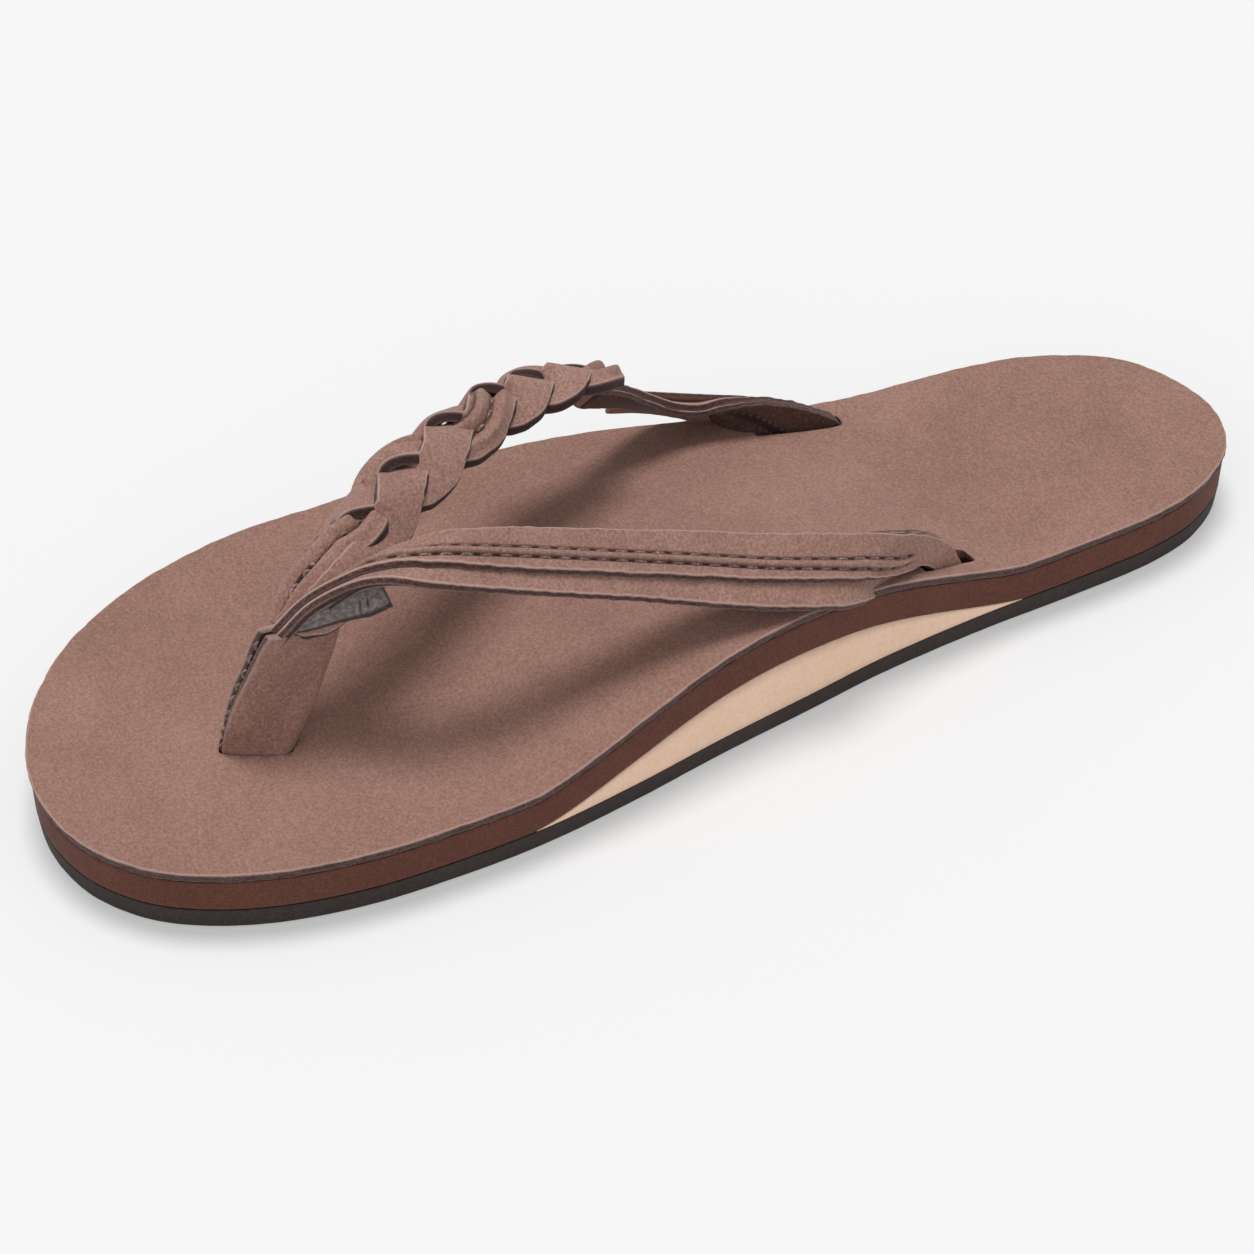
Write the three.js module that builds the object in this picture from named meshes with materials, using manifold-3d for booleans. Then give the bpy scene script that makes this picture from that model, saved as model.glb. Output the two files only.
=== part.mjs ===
// Right-foot leather flip flop with a braided strap, in millimetres.
// The toe points to -Y, the heel to +Y, the arch side is +X and the floor is z = 0.
import * as THREE from 'three';
import { mergeVertices } from 'three/addons/utils/BufferGeometryUtils.js';
import Module from 'manifold-3d';

const wasm = await Module();
wasm.setup();

// sole
const soleLength = 250;
const ballWidth = 95.6;
const heelWidth = 60;
const heelShift = 4.3; // the heel's middle lies this far towards the arch side
const toeTipX = 9;
const outsoleThick = 4.5;
const midsoleThick = 6.8;
const midsoleSwell = 0.8; // extra midsole thickness over the arch
const topSoleThick = 2.2;
const glueLine = 0.25;
const outsoleInset = 1.3;
const midsoleInset = 0.7;
const archHeight = 11.3; // the wedge's tallest place, on the arch side
const archOuterShare = 0.34; // part of that height left at the outer side
const archCentreY = 11;
const archHalfLength = 57;
const wedgeTip = 0.5; // the wedge ends where it is this thin
const soleRows = 48;
const soleColumns = 6;
const capInset = 0.3; // a layer's first and last rows lie this far inside its tips

// straps
const archStrapWidth = 13;
const outerStrapWidth = 12.5;
const tongueWidth = 7;
const strapLeather = 1.3;
const overlayLeather = 1.4;
const liningLeather = 0.8;
const ridgeCoreThick = 0.7;
const webbingWidth = 8;
const webbingThick = 0.8;
const layerGap = 0.3;
const slotClearance = 0.6;
const strandWidth = 4.4;
const strandThick = 1.9;
const braidSpread = 5.4; // sideways swing of a strand
const braidLift = 2.5; // up and down swing of a strand
const braidTurns = 2.71; // full turns of one strand over the braided length
const braidStart = 24; // degrees into its turn at which the first strand starts
const braidCurl = 0.08; // sharpens a strand's turns at the edges of the braid
const strandStitch = 0.4; // place of a stitch row on the ridge strand, as a share of its half width
const threadWidth = 0.7;
const threadThick = 0.35;
const threadGap = 0.3;
const archSlotSearch = 0.6; // share of its path from which a strap may dip into its slot
const outerSlotSearch = 0.3;
const slotLead = 0.04; // share of its path by which a slot starts earlier than the strap touches
const slotSteps = 24;
const strapSteps = 32; // cells along the arch strap, shared by its layers and threads
const stitchedSteps = 27;
const outerSteps = 30;
const strandSteps = 64;
const threadSteps = 26;

// toe post
const postWidth = 14;
const postThick = 5;
const postWall = 1.9;
const coreThick = 1.6;
const seamShare = -0.72; // place of the seam across the post, as a share of its half width
const seamHeight = postThick / 2;
const coreClearance = 0.25;

// plates that hold the straps under the midsole
const plateThick = 1.8;
const plateWidth = 11;
const plateLength = 22;
const plateClearance = 0.4;
const plateInset = 2.5;

const leather = { color: 0x8f6f65, roughness: 0.85, metalness: 0 };
const suede = { color: 0x8a8082, roughness: 0.95, metalness: 0 };
const foam = { color: 0x583728, roughness: 0.85, metalness: 0 };
const tanFoam = { color: 0xe2c0a3, roughness: 0.8, metalness: 0 };
const blackRubber = { color: 0x362d2a, roughness: 0.8, metalness: 0 };
const nylon = { color: 0x3c302c, roughness: 0.8, metalness: 0 };
const thread = { color: 0x5a3f38, roughness: 0.7, metalness: 0 };

const flipFlop = new THREE.Group();

function addPart(name, geometry, finish) {
  const mesh = new THREE.Mesh(geometry, new THREE.MeshStandardMaterial(finish));
  mesh.name = name;
  flipFlop.add(mesh);
}

// joins the shared vertices, so that only closed position data is left
function closed(geometry) {
  geometry.deleteAttribute('normal');
  geometry.deleteAttribute('uv');
  return mergeVertices(geometry, 1e-4);
}

function toSolid(geometry) {
  const vertProperties = Float32Array.from(geometry.attributes.position.array);
  const triVerts = Uint32Array.from(geometry.index.array);
  return new wasm.Manifold(new wasm.Mesh({ numProp: 3, vertProperties, triVerts }));
}

function toGeometry(solid) {
  const mesh = solid.getMesh();
  const geometry = new THREE.BufferGeometry();
  geometry.setAttribute('position', new THREE.BufferAttribute(mesh.vertProperties, 3));
  geometry.setIndex(new THREE.BufferAttribute(mesh.triVerts, 1));
  return geometry;
}

function cutAway(geometry, cutters) {
  let solid = toSolid(geometry);
  for (const cutter of cutters) solid = solid.subtract(toSolid(cutter));
  return toGeometry(solid);
}

// a box whose grid points are moved by place(u, v, w), each from 0 to 1
function shapedBox(segments, place) {
  const geometry = closed(new THREE.BoxGeometry(1, 1, 1, ...segments));
  const position = geometry.attributes.position;
  const point = new THREE.Vector3();
  for (let i = 0; i < position.count; i += 1) {
    point.fromBufferAttribute(position, i).addScalar(0.5);
    const moved = place(point.x, point.y, point.z);
    position.setXYZ(i, moved.x, moved.y, moved.z);
  }
  return geometry;
}

// ---- outline and levels of the sole ----

const fore = (fx, fy) => new THREE.Vector2((fx * ballWidth) / 2, (fy * soleLength) / 2);
const rear = (fx, fy) => new THREE.Vector2(heelShift + (fx * heelWidth) / 2, (fy * soleLength) / 2);
const toeTip = new THREE.Vector2(toeTipX, -soleLength / 2);
const heelTip = rear(0.12, 1);

const archSide = new THREE.SplineCurve([
  toeTip, fore(0.44, -0.976), fore(0.674, -0.908), fore(0.853, -0.79), fore(0.955, -0.64),
  fore(0.9856, -0.48), fore(0.98, -0.336), fore(0.93, -0.176), rear(1.235, -0.024),
  rear(1.14, 0.144), rear(1.057, 0.288), rear(1.01, 0.464), rear(1, 0.64), rear(0.97, 0.784),
  rear(0.85, 0.888), rear(0.57, 0.972), heelTip,
]);
const outerSide = new THREE.SplineCurve([
  toeTip, fore(-0.063, -0.992), fore(-0.295, -0.956), fore(-0.505, -0.9), fore(-0.716, -0.808),
  fore(-0.89, -0.672), fore(-0.98, -0.512), fore(-0.975, -0.352), fore(-0.9, -0.136),
  rear(-1.39, 0.056), rear(-1.19, 0.224), rear(-1.05, 0.4), rear(-0.99, 0.576), rear(-0.91, 0.736),
  rear(-0.76, 0.848), rear(-0.45, 0.95), heelTip,
]);

// the x of an outline side at a place along the sole
function sideX(side, y) {
  let low = 0;
  let high = 1;
  for (let step = 0; step < 30; step += 1) {
    const middle = (low + high) / 2;
    if (side.getPoint(middle).y < y) low = middle;
    else high = middle;
  }
  return side.getPoint((low + high) / 2).x;
}

function archBump(y) {
  const t = (y - archCentreY) / archHalfLength;
  return Math.abs(t) < 1 ? (1 - t * t) ** 1.5 : 0;
}

function wedgeHeight(x, y) {
  const outer = sideX(outerSide, y);
  const across = THREE.MathUtils.smoothstep(x, outer, sideX(archSide, y));
  return archHeight * archBump(y) * (archOuterShare + (1 - archOuterShare) * across);
}

const wedgeBottom = () => outsoleThick + glueLine;
const wedgeTop = (x, y) => wedgeBottom() + wedgeHeight(x, y);
const midsoleBottom = (x, y) => wedgeTop(x, y) + glueLine;
const midsoleTop = (x, y) => midsoleBottom(x, y) + midsoleThick + midsoleSwell * archBump(y);
const topSoleBottom = (x, y) => midsoleTop(x, y) + glueLine;
const footbed = (x, y) => topSoleBottom(x, y) + topSoleThick;

// the place along the sole, from -1 to 1, of a row of its layers
const rowTurn = (row) => -Math.cos((Math.PI * row) / soleRows);

// a layer of the sole between two level functions; layers share their rows and columns
function soleLayer(inset, low, high, columns = soleColumns, firstRow = 0, lastRow = soleRows) {
  const halfLength = soleLength / 2 - inset;
  return shapedBox([columns, lastRow - firstRow, 1], (u, v, w) => {
    const y = rowTurn(THREE.MathUtils.lerp(firstRow, lastRow, v)) * (halfLength - capInset);
    const outlineY = (y * soleLength) / 2 / halfLength;
    const left = sideX(outerSide, outlineY) + inset;
    const right = sideX(archSide, outlineY) - inset;
    const x = THREE.MathUtils.lerp(left, right, u);
    return new THREE.Vector3(x, y, w < 0.5 ? low(x, y) : high(x, y));
  });
}

// ---- straps ----

// the straps are laid out on a sole of this size and follow it when it grows
const layoutLength = 250;
const layoutWidth = 95.6;
const joinGap = (1.5 * layoutLength) / soleLength; // from the braid's end to the outer strap
const anchorDepth = topSoleThick + glueLine + midsoleThick - plateThick;

function stationPoint([layoutX, layoutY, height]) {
  const x = (layoutX * ballWidth) / layoutWidth;
  const y = (layoutY * soleLength) / layoutLength;
  return new THREE.Vector3(x, y, footbed(x, y) + height);
}

// stations: x, y, height over the footbed, tilt of the outer face in degrees and share of the width;
// outer is 1 for a strap that faces the arch side and -1 for the other side
function strapPath(fullWidth, outer, stations) {
  const centre = new THREE.CatmullRomCurve3(stations.map(stationPoint));
  const form = new THREE.CatmullRomCurve3(
    stations.map(([, , , tilt, share]) => new THREE.Vector3(tilt, share * fullWidth, 0)),
    false,
    'catmullrom',
  );
  return (t) => {
    const along = centre.getTangent(t);
    const side = along.clone().cross(new THREE.Vector3(0, 0, outer)).normalize();
    const up = side.clone().cross(along).multiplyScalar(outer);
    const { x: tilt, y: width } = form.getPoint(t);
    const angle = THREE.MathUtils.degToRad(tilt);
    return {
      centre: centre.getPoint(t),
      along,
      across: side.clone().multiplyScalar(Math.cos(angle)).addScaledVector(up, -Math.sin(angle)),
      face: side.clone().multiplyScalar(Math.sin(angle)).addScaledVector(up, Math.cos(angle)),
      width,
      outer,
    };
  };
}

// the value at u, from 0 to 1, of a line of straight steps through evenly spaced values
function between(values, u) {
  const place = u * (values.length - 1);
  const index = Math.min(Math.floor(place), values.length - 2);
  return THREE.MathUtils.lerp(values[index], values[index + 1], place - index);
}

// a flat band on a path; edges are shares of the half width, low and high are heights off the middle
function band(path, { from = 0, to = 1, edges = [-1, 1], grow = 0, low, high, steps, cells = 1 }) {
  return shapedBox([cells * (edges.length - 1), 1, steps], (u, v, w) => {
    const frame = path(THREE.MathUtils.lerp(from, to, w));
    const half = frame.width / 2;
    const side = frame.outer > 0 ? 1 - u : u; // keeps the faces pointing outwards
    const reach = between(edges, side) * half + (2 * side - 1) * grow;
    const lift = v < 0.5 ? low(reach / half, side) : high(reach / half, side);
    return frame.centre.clone().addScaledVector(frame.across, reach).addScaledVector(frame.face, lift);
  });
}

const level = (height) => () => height;

// a lens-shaped face: full height in the middle, thinner at the two edges
const rounded = (height, edge = 0.45) => (share, u) =>
  height * (edge + (1 - edge) * Math.sqrt(1 - (2 * u - 1) ** 4));

const archStrap = strapPath(archStrapWidth, 1, [
  [15, -72.2, 30, 72, 0.38], [16.4, -67.4, 33.4, 60, 0.46], [17.4, -58.6, 35.6, 45, 0.62],
  [19, -44, 34.4, 36, 0.92], [24, -25, 25.5, 34, 0.98], [28.2, -6, 15.1, 36, 1],
  [32.2, 11, 8.3, 36, 1], [34.1, 24, 6, 44, 0.92], [33.2, 31, 5.5, 60, 0.82],
  [32.4, 38, 3.7, 76, 0.8], [30.7, 47, 0, 86, 0.88], [28.4, 53, 1.8 - anchorDepth, 90, 0.92],
]);
const braidPath = strapPath(2 * braidSpread, -1, [
  [6.2, -72.3, 27.1, 10, 1], [3.4, -62, 33.1, 5, 1], [-3, -50, 36.8, 5, 1], [-11, -35, 36.3, 10, 1],
  [-17.5, -21, 32.7, 20, 1], [-21.8, -9, 28.1, 35, 1], [-23.8, 3, 23.4, 50, 1], [-24.2, 13, 16.1, 50, 1],
]);
const outerStrap = strapPath(outerStrapWidth, -1, [
  [-24.2, 13 + joinGap, 14.7, 48, 0.88], [-23.6, 22, 9.4, 42, 0.96], [-22.6, 31, 6.8, 45, 0.96],
  [-21.4, 40, 4.2, 70, 1], [-20.2, 48.5, 0.1, 86, 1], [-19.6, 52, 1.8 - anchorDepth, 90, 0.96],
]);
const postPath = strapPath(postWidth, -1, [
  [10.9, -85.6, 0.1 - anchorDepth, 92, 0.93], [10.7, -85.1, -2.3, 90, 0.93], [10.4, -83.6, 3.8, 88, 0.96],
  [10, -80.8, 10.8, 86, 1], [9.6, -77.6, 17.8, 84, 1.03], [9.4, -75.4, 22.8, 82, 1.07],
  [9.2, -73.6, 26.8, 80, 1.07],
]);
const tonguePath = strapPath(tongueWidth, 1, [
  [13, -69.8, 24, 62, 1], [14.5, -65, 26.8, 58, 1], [16.4, -59, 29, 52, 0.86],
]);

const basePlane = strapLeather / 2;
const liningTop = -basePlane - layerGap;
const overlayLow = basePlane + layerGap;
// shares of the strap's half width
const ridgeMiddle = -0.24;
const ridgeHalf = 0.17;
const coreHalf = 0.1;
const stitchOffset = 0.24;
const stitchHalf = 0.055;
const overlayEdge = 0.12;
const ridgeStart = ridgeMiddle - ridgeHalf;
const ridgeEnd = ridgeMiddle + ridgeHalf;

function ridgeLift(share) {
  const t = (share - ridgeMiddle) / ridgeHalf;
  return Math.abs(t) < 1 ? (ridgeCoreThick + layerGap) * Math.cos((t * Math.PI) / 2) ** 0.6 : 0;
}

// a flat plate on the underside of the midsole
function underPlate([x0, y0], grow, low, high) {
  return shapedBox([4, 8, 1], (u, v, w) => {
    const x = x0 + (u - 0.5) * (plateWidth + 2 * grow);
    const y = y0 + (v - 0.5) * (plateLength + 2 * grow);
    return new THREE.Vector3(x, y, midsoleBottom(x, y) + (w < 0.5 ? low : high));
  });
}

// each plate lies under its strap's end, moved in from the edge of the sole
function plateUnder({ x, y }, inward) {
  return [x + inward, y];
}

const plates = {
  arch: plateUnder(archStrap(1).centre, -plateInset),
  outer: plateUnder(outerStrap(1).centre, plateInset),
  toe: plateUnder(postPath(0).centre, 0),
};
const plateCut = (place) => underPlate(place, plateClearance, -1, plateThick + plateClearance);

// the first place at which a corner of the strap comes down to the footbed
function slotStart(path, from, low, high) {
  const isClear = (t) => {
    const { centre, across, face, width } = path(t);
    const reach = width / 2;
    return [[-reach, low], [reach, low], [-reach, high], [reach, high]].every(([side, lift]) => {
      const corner = centre.clone().addScaledVector(across, side).addScaledVector(face, lift);
      return corner.z > footbed(corner.x, corner.y);
    });
  };
  let t = from;
  while (t < 1 && isClear(t)) t += 1 / strandSteps;
  return t - slotLead;
}

// the room a strap takes in the sole
function strapCut(path, from, low, high) {
  return band(path, {
    from,
    grow: slotClearance,
    low: level(low - slotClearance),
    high: level(high + slotClearance),
    steps: slotSteps,
    cells: 2,
  });
}

const archStackLow = liningTop - liningLeather;
const archStackHigh = overlayLow + ridgeCoreThick + layerGap + overlayLeather;
const webbingTop = -layerGap;
const outerLiningTop = webbingTop - webbingThick - layerGap;
const outerStackLow = outerLiningTop - liningLeather;
const archSlotFrom = slotStart(archStrap, archSlotSearch, archStackLow, archStackHigh);
const outerSlotFrom = slotStart(outerStrap, outerSlotSearch, outerStackLow, strapLeather);
const archCut = strapCut(archStrap, archSlotFrom, archStackLow, archStackHigh);
const outerCut = strapCut(outerStrap, outerSlotFrom, outerStackLow, strapLeather);
const postCut = strapCut(postPath, 0, -postThick / 2, postThick / 2);
const slotCuts = [archCut, outerCut, postCut];

// everything under the tops of the anchor plates, where the leather ends
const plateTop = (x, y) => midsoleBottom(x, y) + plateThick;
const underStraps = soleLayer(0, level(-1), (x, y) => plateTop(x, y) + layerGap);

// the rows between which the wedge is thicker than its tip
function wedgeRows() {
  const halfLength = soleLength / 2 - midsoleInset - capInset;
  const rows = Array.from({ length: soleRows + 1 }, (_, row) => row);
  const thick = rows.filter((row) => archHeight * archBump(rowTurn(row) * halfLength) > wedgeTip);
  return [thick[0], thick[thick.length - 1]];
}

function makeSole() {
  addPart('outsole', soleLayer(outsoleInset, level(0), level(outsoleThick), 1), blackRubber);
  const wedge = soleLayer(midsoleInset, wedgeBottom, wedgeTop, soleColumns, ...wedgeRows());
  addPart('arch_wedge', wedge, tanFoam);
  const midsole = soleLayer(midsoleInset, midsoleBottom, midsoleTop);
  const plateCuts = Object.values(plates).map(plateCut);
  addPart('midsole', cutAway(midsole, [...slotCuts, ...plateCuts]), foam);
  const topSole = soleLayer(0, topSoleBottom, footbed);
  addPart('top_sole', cutAway(topSole, slotCuts), leather);
  for (const [name, place] of Object.entries(plates)) {
    addPart(`${name}_anchor_plate`, underPlate(place, 0, 0, plateThick), nylon);
  }
}

function makeToePost() {
  const outer = band(postPath, {
    from: 0.13, to: 0.85, low: rounded(-postThick / 2), high: rounded(postThick / 2), steps: 14, cells: 6,
  });
  const bore = coreThick / 2 + coreClearance;
  const inner = band(postPath, {
    grow: -postWall, low: level(-bore), high: level(bore), steps: 20,
  });
  addPart('toe_post_wrap', cutAway(outer, [inner]), leather);
  const core = band(postPath, {
    from: 0.02,
    to: 0.9,
    grow: -postWall - coreClearance,
    low: level(-coreThick / 2),
    high: level(coreThick / 2),
    steps: 17,
  });
  addPart('toe_post_webbing', core, nylon);
  const seam = band(postPath, {
    from: 0.22,
    to: 0.83,
    edges: [seamShare, seamShare],
    grow: threadWidth / 2,
    low: level(-seamHeight - threadGap - threadThick),
    high: level(-seamHeight - threadGap),
    steps: 16,
  });
  addPart('toe_post_thread', seam, thread);
  addPart('toe_post_tongue', band(tonguePath, {
    low: level(-strapLeather / 2), high: level(strapLeather / 2), steps: 8, cells: 2,
  }), suede);
}

// a layer of a strap that ends inside the midsole, just above its plate
function sunkBand(path, place, form) {
  const plateRoom = underPlate(place, plateClearance, -1, plateThick + layerGap);
  return cutAway(band(path, form), [underStraps, plateRoom]);
}

// a row of stitches lying on a strap's outer face
function stitchRow(path, share, surface, range = {}) {
  return band(path, {
    ...range,
    edges: [share - stitchHalf, share + stitchHalf],
    low: level(surface + threadGap),
    high: level(surface + threadGap + threadThick),
    steps: threadSteps,
  });
}

const coreEdges = [ridgeMiddle - coreHalf, ridgeMiddle, ridgeMiddle + coreHalf];

function makeArchStrap() {
  const steps = strapSteps;
  addPart('arch_strap_upper', sunkBand(archStrap, plates.arch, {
    low: level(-basePlane), high: level(basePlane), steps, cells: 2,
  }), leather);
  addPart('arch_strap_overlay', sunkBand(archStrap, plates.arch, {
    edges: [-1, ridgeStart, ...coreEdges, ridgeEnd, overlayEdge],
    low: (share) => overlayLow + ridgeLift(share),
    high: (share) => overlayLow + overlayLeather + ridgeLift(share),
    steps,
  }), leather);
  addPart('arch_strap_ridge_core', band(archStrap, {
    from: 0.04,
    to: 0.8,
    edges: coreEdges,
    low: level(overlayLow),
    high: level(overlayLow + ridgeCoreThick - layerGap),
    steps,
  }), nylon);
  addPart('arch_strap_lining', sunkBand(archStrap, plates.arch, {
    edges: [-1, 0.8], low: level(archStackLow), high: level(liningTop), steps, cells: 2,
  }), suede);
  const face = overlayLow + overlayLeather;
  const range = { from: 1 / strapSteps, to: stitchedSteps / strapSteps };
  addPart('arch_thread_upper', stitchRow(archStrap, ridgeMiddle - stitchOffset, face, range), thread);
  addPart('arch_thread_lower', stitchRow(archStrap, ridgeMiddle + stitchOffset, face, range), thread);
}

// the strands gather towards both ends of the braid
function braidOpening(t) {
  return THREE.MathUtils.smoothstep(t, -0.3, 0.1) * THREE.MathUtils.smoothstep(1.3 - t, 0, 0.4);
}

// one strand of the braid: over the others on its way in, under them on its way out
function strandPath(phase) {
  const at = (t) => {
    const { centre, across, face } = braidPath(t);
    const angle = 2 * Math.PI * braidTurns * t + phase;
    const swing = braidSpread * (Math.sin(angle) - braidCurl * Math.sin(3 * angle));
    const lift = -braidLift * Math.sin(2 * angle);
    return centre.clone().addScaledVector(across, swing * braidOpening(t)).addScaledVector(face, lift);
  };
  const nearby = 0.002;
  return (t) => {
    const { face } = braidPath(t);
    const along = at(Math.min(t + nearby, 1)).sub(at(Math.max(t - nearby, 0))).normalize();
    const across = face.clone().cross(along).normalize();
    return {
      centre: at(t),
      along,
      across,
      face: along.clone().cross(across),
      width: strandWidth,
      outer: -1,
    };
  };
}

const strandNames = ['front', 'ridge', 'rear'];

function makeBraid() {
  strandNames.forEach((name, index) => {
    const path = strandPath(THREE.MathUtils.degToRad(braidStart + (360 * index) / strandNames.length));
    addPart(`braid_strand_${name}`, band(path, {
      low: level(-strandThick / 2), high: level(strandThick / 2), steps: strandSteps,
    }), leather);
    if (name !== 'ridge') return;
    for (const [row, share] of [['left', -strandStitch], ['right', strandStitch]]) {
      addPart(`braid_thread_${row}`, band(path, {
        from: 1 / strandSteps,
        to: 1 - 1 / strandSteps,
        edges: [share - 2 * stitchHalf, share + 2 * stitchHalf],
        low: level(strandThick / 2 + threadGap),
        high: level(strandThick / 2 + threadGap + threadThick),
        steps: strandSteps - 2,
      }), thread);
    }
  });
}

const webbingShare = webbingWidth / outerStrapWidth;
const tailStitch = 0.5;

function makeOuterStrap() {
  addPart('outer_strap_upper', sunkBand(outerStrap, plates.outer, {
    low: level(0), high: level(strapLeather), steps: outerSteps, cells: 2,
  }), leather);
  addPart('outer_strap_webbing', sunkBand(outerStrap, plates.outer, {
    edges: [-webbingShare, webbingShare],
    low: level(webbingTop - webbingThick),
    high: level(webbingTop),
    steps: outerSteps,
    cells: 2,
  }), nylon);
  addPart('outer_strap_lining', sunkBand(outerStrap, plates.outer, {
    low: level(outerStackLow), high: level(outerLiningTop), steps: outerSteps, cells: 2,
  }), suede);
  addPart('outer_strap_thread', band(outerStrap, {
    from: 0.1,
    to: outerSlotFrom,
    edges: [tailStitch - stitchHalf, tailStitch + stitchHalf],
    low: level(outerStackLow - threadGap - threadThick),
    high: level(outerStackLow - threadGap),
    steps: threadSteps,
  }), thread);
}

makeSole();
makeToePost();
makeArchStrap();
makeBraid();
makeOuterStrap();

export default flipFlop;
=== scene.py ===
# A right-foot leather flip flop with a braided strap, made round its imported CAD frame.
# Sizes in the dictionaries are millimetres unless a note says otherwise.
import math

import bmesh
import bpy
import numpy as np
from mathutils import Matrix, Vector, noise


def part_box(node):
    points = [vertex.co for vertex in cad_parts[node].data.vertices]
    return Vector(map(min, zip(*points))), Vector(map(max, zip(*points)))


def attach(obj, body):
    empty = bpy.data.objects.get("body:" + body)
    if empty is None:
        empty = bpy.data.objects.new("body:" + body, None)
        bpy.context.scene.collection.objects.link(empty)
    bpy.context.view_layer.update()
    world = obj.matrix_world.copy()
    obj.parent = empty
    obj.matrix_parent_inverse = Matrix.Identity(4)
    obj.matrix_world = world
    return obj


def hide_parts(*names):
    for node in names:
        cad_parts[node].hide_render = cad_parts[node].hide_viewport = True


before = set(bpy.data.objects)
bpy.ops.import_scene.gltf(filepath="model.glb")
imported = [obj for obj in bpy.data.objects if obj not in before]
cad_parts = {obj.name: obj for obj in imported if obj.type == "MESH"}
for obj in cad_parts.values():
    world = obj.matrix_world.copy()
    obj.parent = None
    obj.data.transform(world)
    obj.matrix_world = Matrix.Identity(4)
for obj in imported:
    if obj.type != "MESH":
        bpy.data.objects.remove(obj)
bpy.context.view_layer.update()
mm = 0.001


# small tools for lines and grids

def smoothStep(values, low, high):
    share = np.clip((np.asarray(values, float) - low) / (high - low), 0, 1)
    return share * share * (3 - 2 * share)


def bell(values, centre, width):
    return np.exp(-((np.asarray(values, float) - centre) / width) ** 2)


def throughPoints(points, t):  # a smooth line through the points, t from 0 to 1
    points = np.asarray(points, float)
    ends = np.vstack([2 * points[0] - points[1], points, 2 * points[-1] - points[-2]])
    place = np.clip(np.asarray(t, float), 0, 1) * (len(points) - 1)
    index = np.minimum(place.astype(int), len(points) - 2)
    f = (place - index)[:, None]
    a, b, c, d = (ends[index + k] for k in range(4))
    return 0.5 * (2 * b + (c - a) * f + (2 * a - 5 * b + 4 * c - d) * f**2 + (3 * b - a - 3 * c + d) * f**3)


def unit(vectors):
    return vectors / np.maximum(np.linalg.norm(vectors, axis=-1, keepdims=True), 1e-9)


def roughness(points, size, amount, seed=0):  # soft waves over the surface, the same at each run
    shift = Vector((seed * 7.3, seed * 3.1, seed * 5.7))
    return amount * np.array([noise.noise(Vector(p) / size + shift) for p in points])


def shapedGrid(columns, rows, place, caps=False):
    # place(u, v) gives each vertex its point in mm, its wear and painted shade (cut edge, worn line, dark
    # marks and painted shade) and its UV in mm
    bm = bmesh.new()
    bmesh.ops.create_grid(bm, x_segments=columns, y_segments=rows, size=0.5)
    bm.verts.ensure_lookup_table()
    u = np.round((np.array([v.co.x for v in bm.verts]) + 0.5) * columns) / columns
    v = np.round((np.array([v.co.y for v in bm.verts]) + 0.5) * rows) / rows
    points, wearAndShade, flat = place(u, v)
    wearAndShadeLayer = bm.verts.layers.float_vector.new("wearAndShade")
    uvLayer = bm.loops.layers.uv.new("flat")
    for vert, point, worn in zip(bm.verts, points, wearAndShade):
        vert.co = Vector(point) * mm
        vert[wearAndShadeLayer] = worn
    for face in bm.faces:
        face.smooth = True
        for loop in face.loops:
            loop[uvLayer].uv = flat[loop.vert.index]
    bmesh.ops.remove_doubles(bm, verts=bm.verts, dist=1e-6)
    if caps:
        bmesh.ops.holes_fill(bm, edges=[e for e in bm.edges if e.is_boundary], sides=0)
    bmesh.ops.recalc_face_normals(bm, faces=bm.faces)
    return bm


def makeObject(bm, name):
    mesh = bpy.data.meshes.new(name)
    bm.to_mesh(mesh)
    bm.free()
    made = bpy.data.objects.new(name, mesh)
    bpy.context.scene.collection.objects.link(made)
    return made


def makePiece(bm, name, nodes, material):
    piece = makeObject(bm, name)
    piece.data.materials.append(material)
    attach(piece, "root")
    if nodes:
        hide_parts(*nodes)
    return piece


def joined(*meshes):  # several bmeshes as one, the later ones emptied into the first
    first = meshes[0]
    for other in meshes[1:]:
        spare = bpy.data.meshes.new("spare")
        other.to_mesh(spare)
        other.free()
        first.from_mesh(spare)
        bpy.data.meshes.remove(spare)
    return first


# materials

def addNode(tree, kind, values=None, **settings):  # a socket among the values is linked, the rest are set
    node = tree.nodes.new(kind)
    for key, value in settings.items():
        setattr(node, key, value)
    for key, value in (values or {}).items():
        if isinstance(value, bpy.types.NodeSocket):
            tree.links.new(value, node.inputs[key])
        else:
            node.inputs[key].default_value = value
    return node


def newGroup(name, inputs, outputs):
    group = bpy.data.node_groups.new(name, "ShaderNodeTree")
    for socket, kind, value in inputs:
        made = group.interface.new_socket(socket, in_out="INPUT", socket_type=kind)
        if value is not None:
            made.default_value = value
    for socket, kind in outputs:
        group.interface.new_socket(socket, in_out="OUTPUT", socket_type=kind)
    return group, group.nodes.new("NodeGroupInput"), group.nodes.new("NodeGroupOutput")


def useGroup(tree, group, values):
    return addNode(tree, "ShaderNodeGroup", values, node_tree=group)


def mixColour(tree, factor, first, second):
    return addNode(tree, "ShaderNodeMix", {0: factor, 6: first, 7: second}, data_type="RGBA").outputs[2]


def mathNode(tree, operation, first, second=0.0, clamp=False):
    node = addNode(tree, "ShaderNodeMath", {0: first, 1: second}, operation=operation)
    node.use_clamp = clamp
    return node.outputs[0]


def weighted(tree, first, firstShare, second, secondShare):
    return mathNode(tree, "ADD", mathNode(tree, "MULTIPLY", first, firstShare),
                    mathNode(tree, "MULTIPLY", second, secondShare))


def linear(*screen):  # a screen colour, 0 to 255, as the shaders want it
    return tuple(((c / 255 + 0.055) / 1.055) ** 2.4 if c > 10 else c / 3294.6 for c in screen) + (1,)


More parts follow.
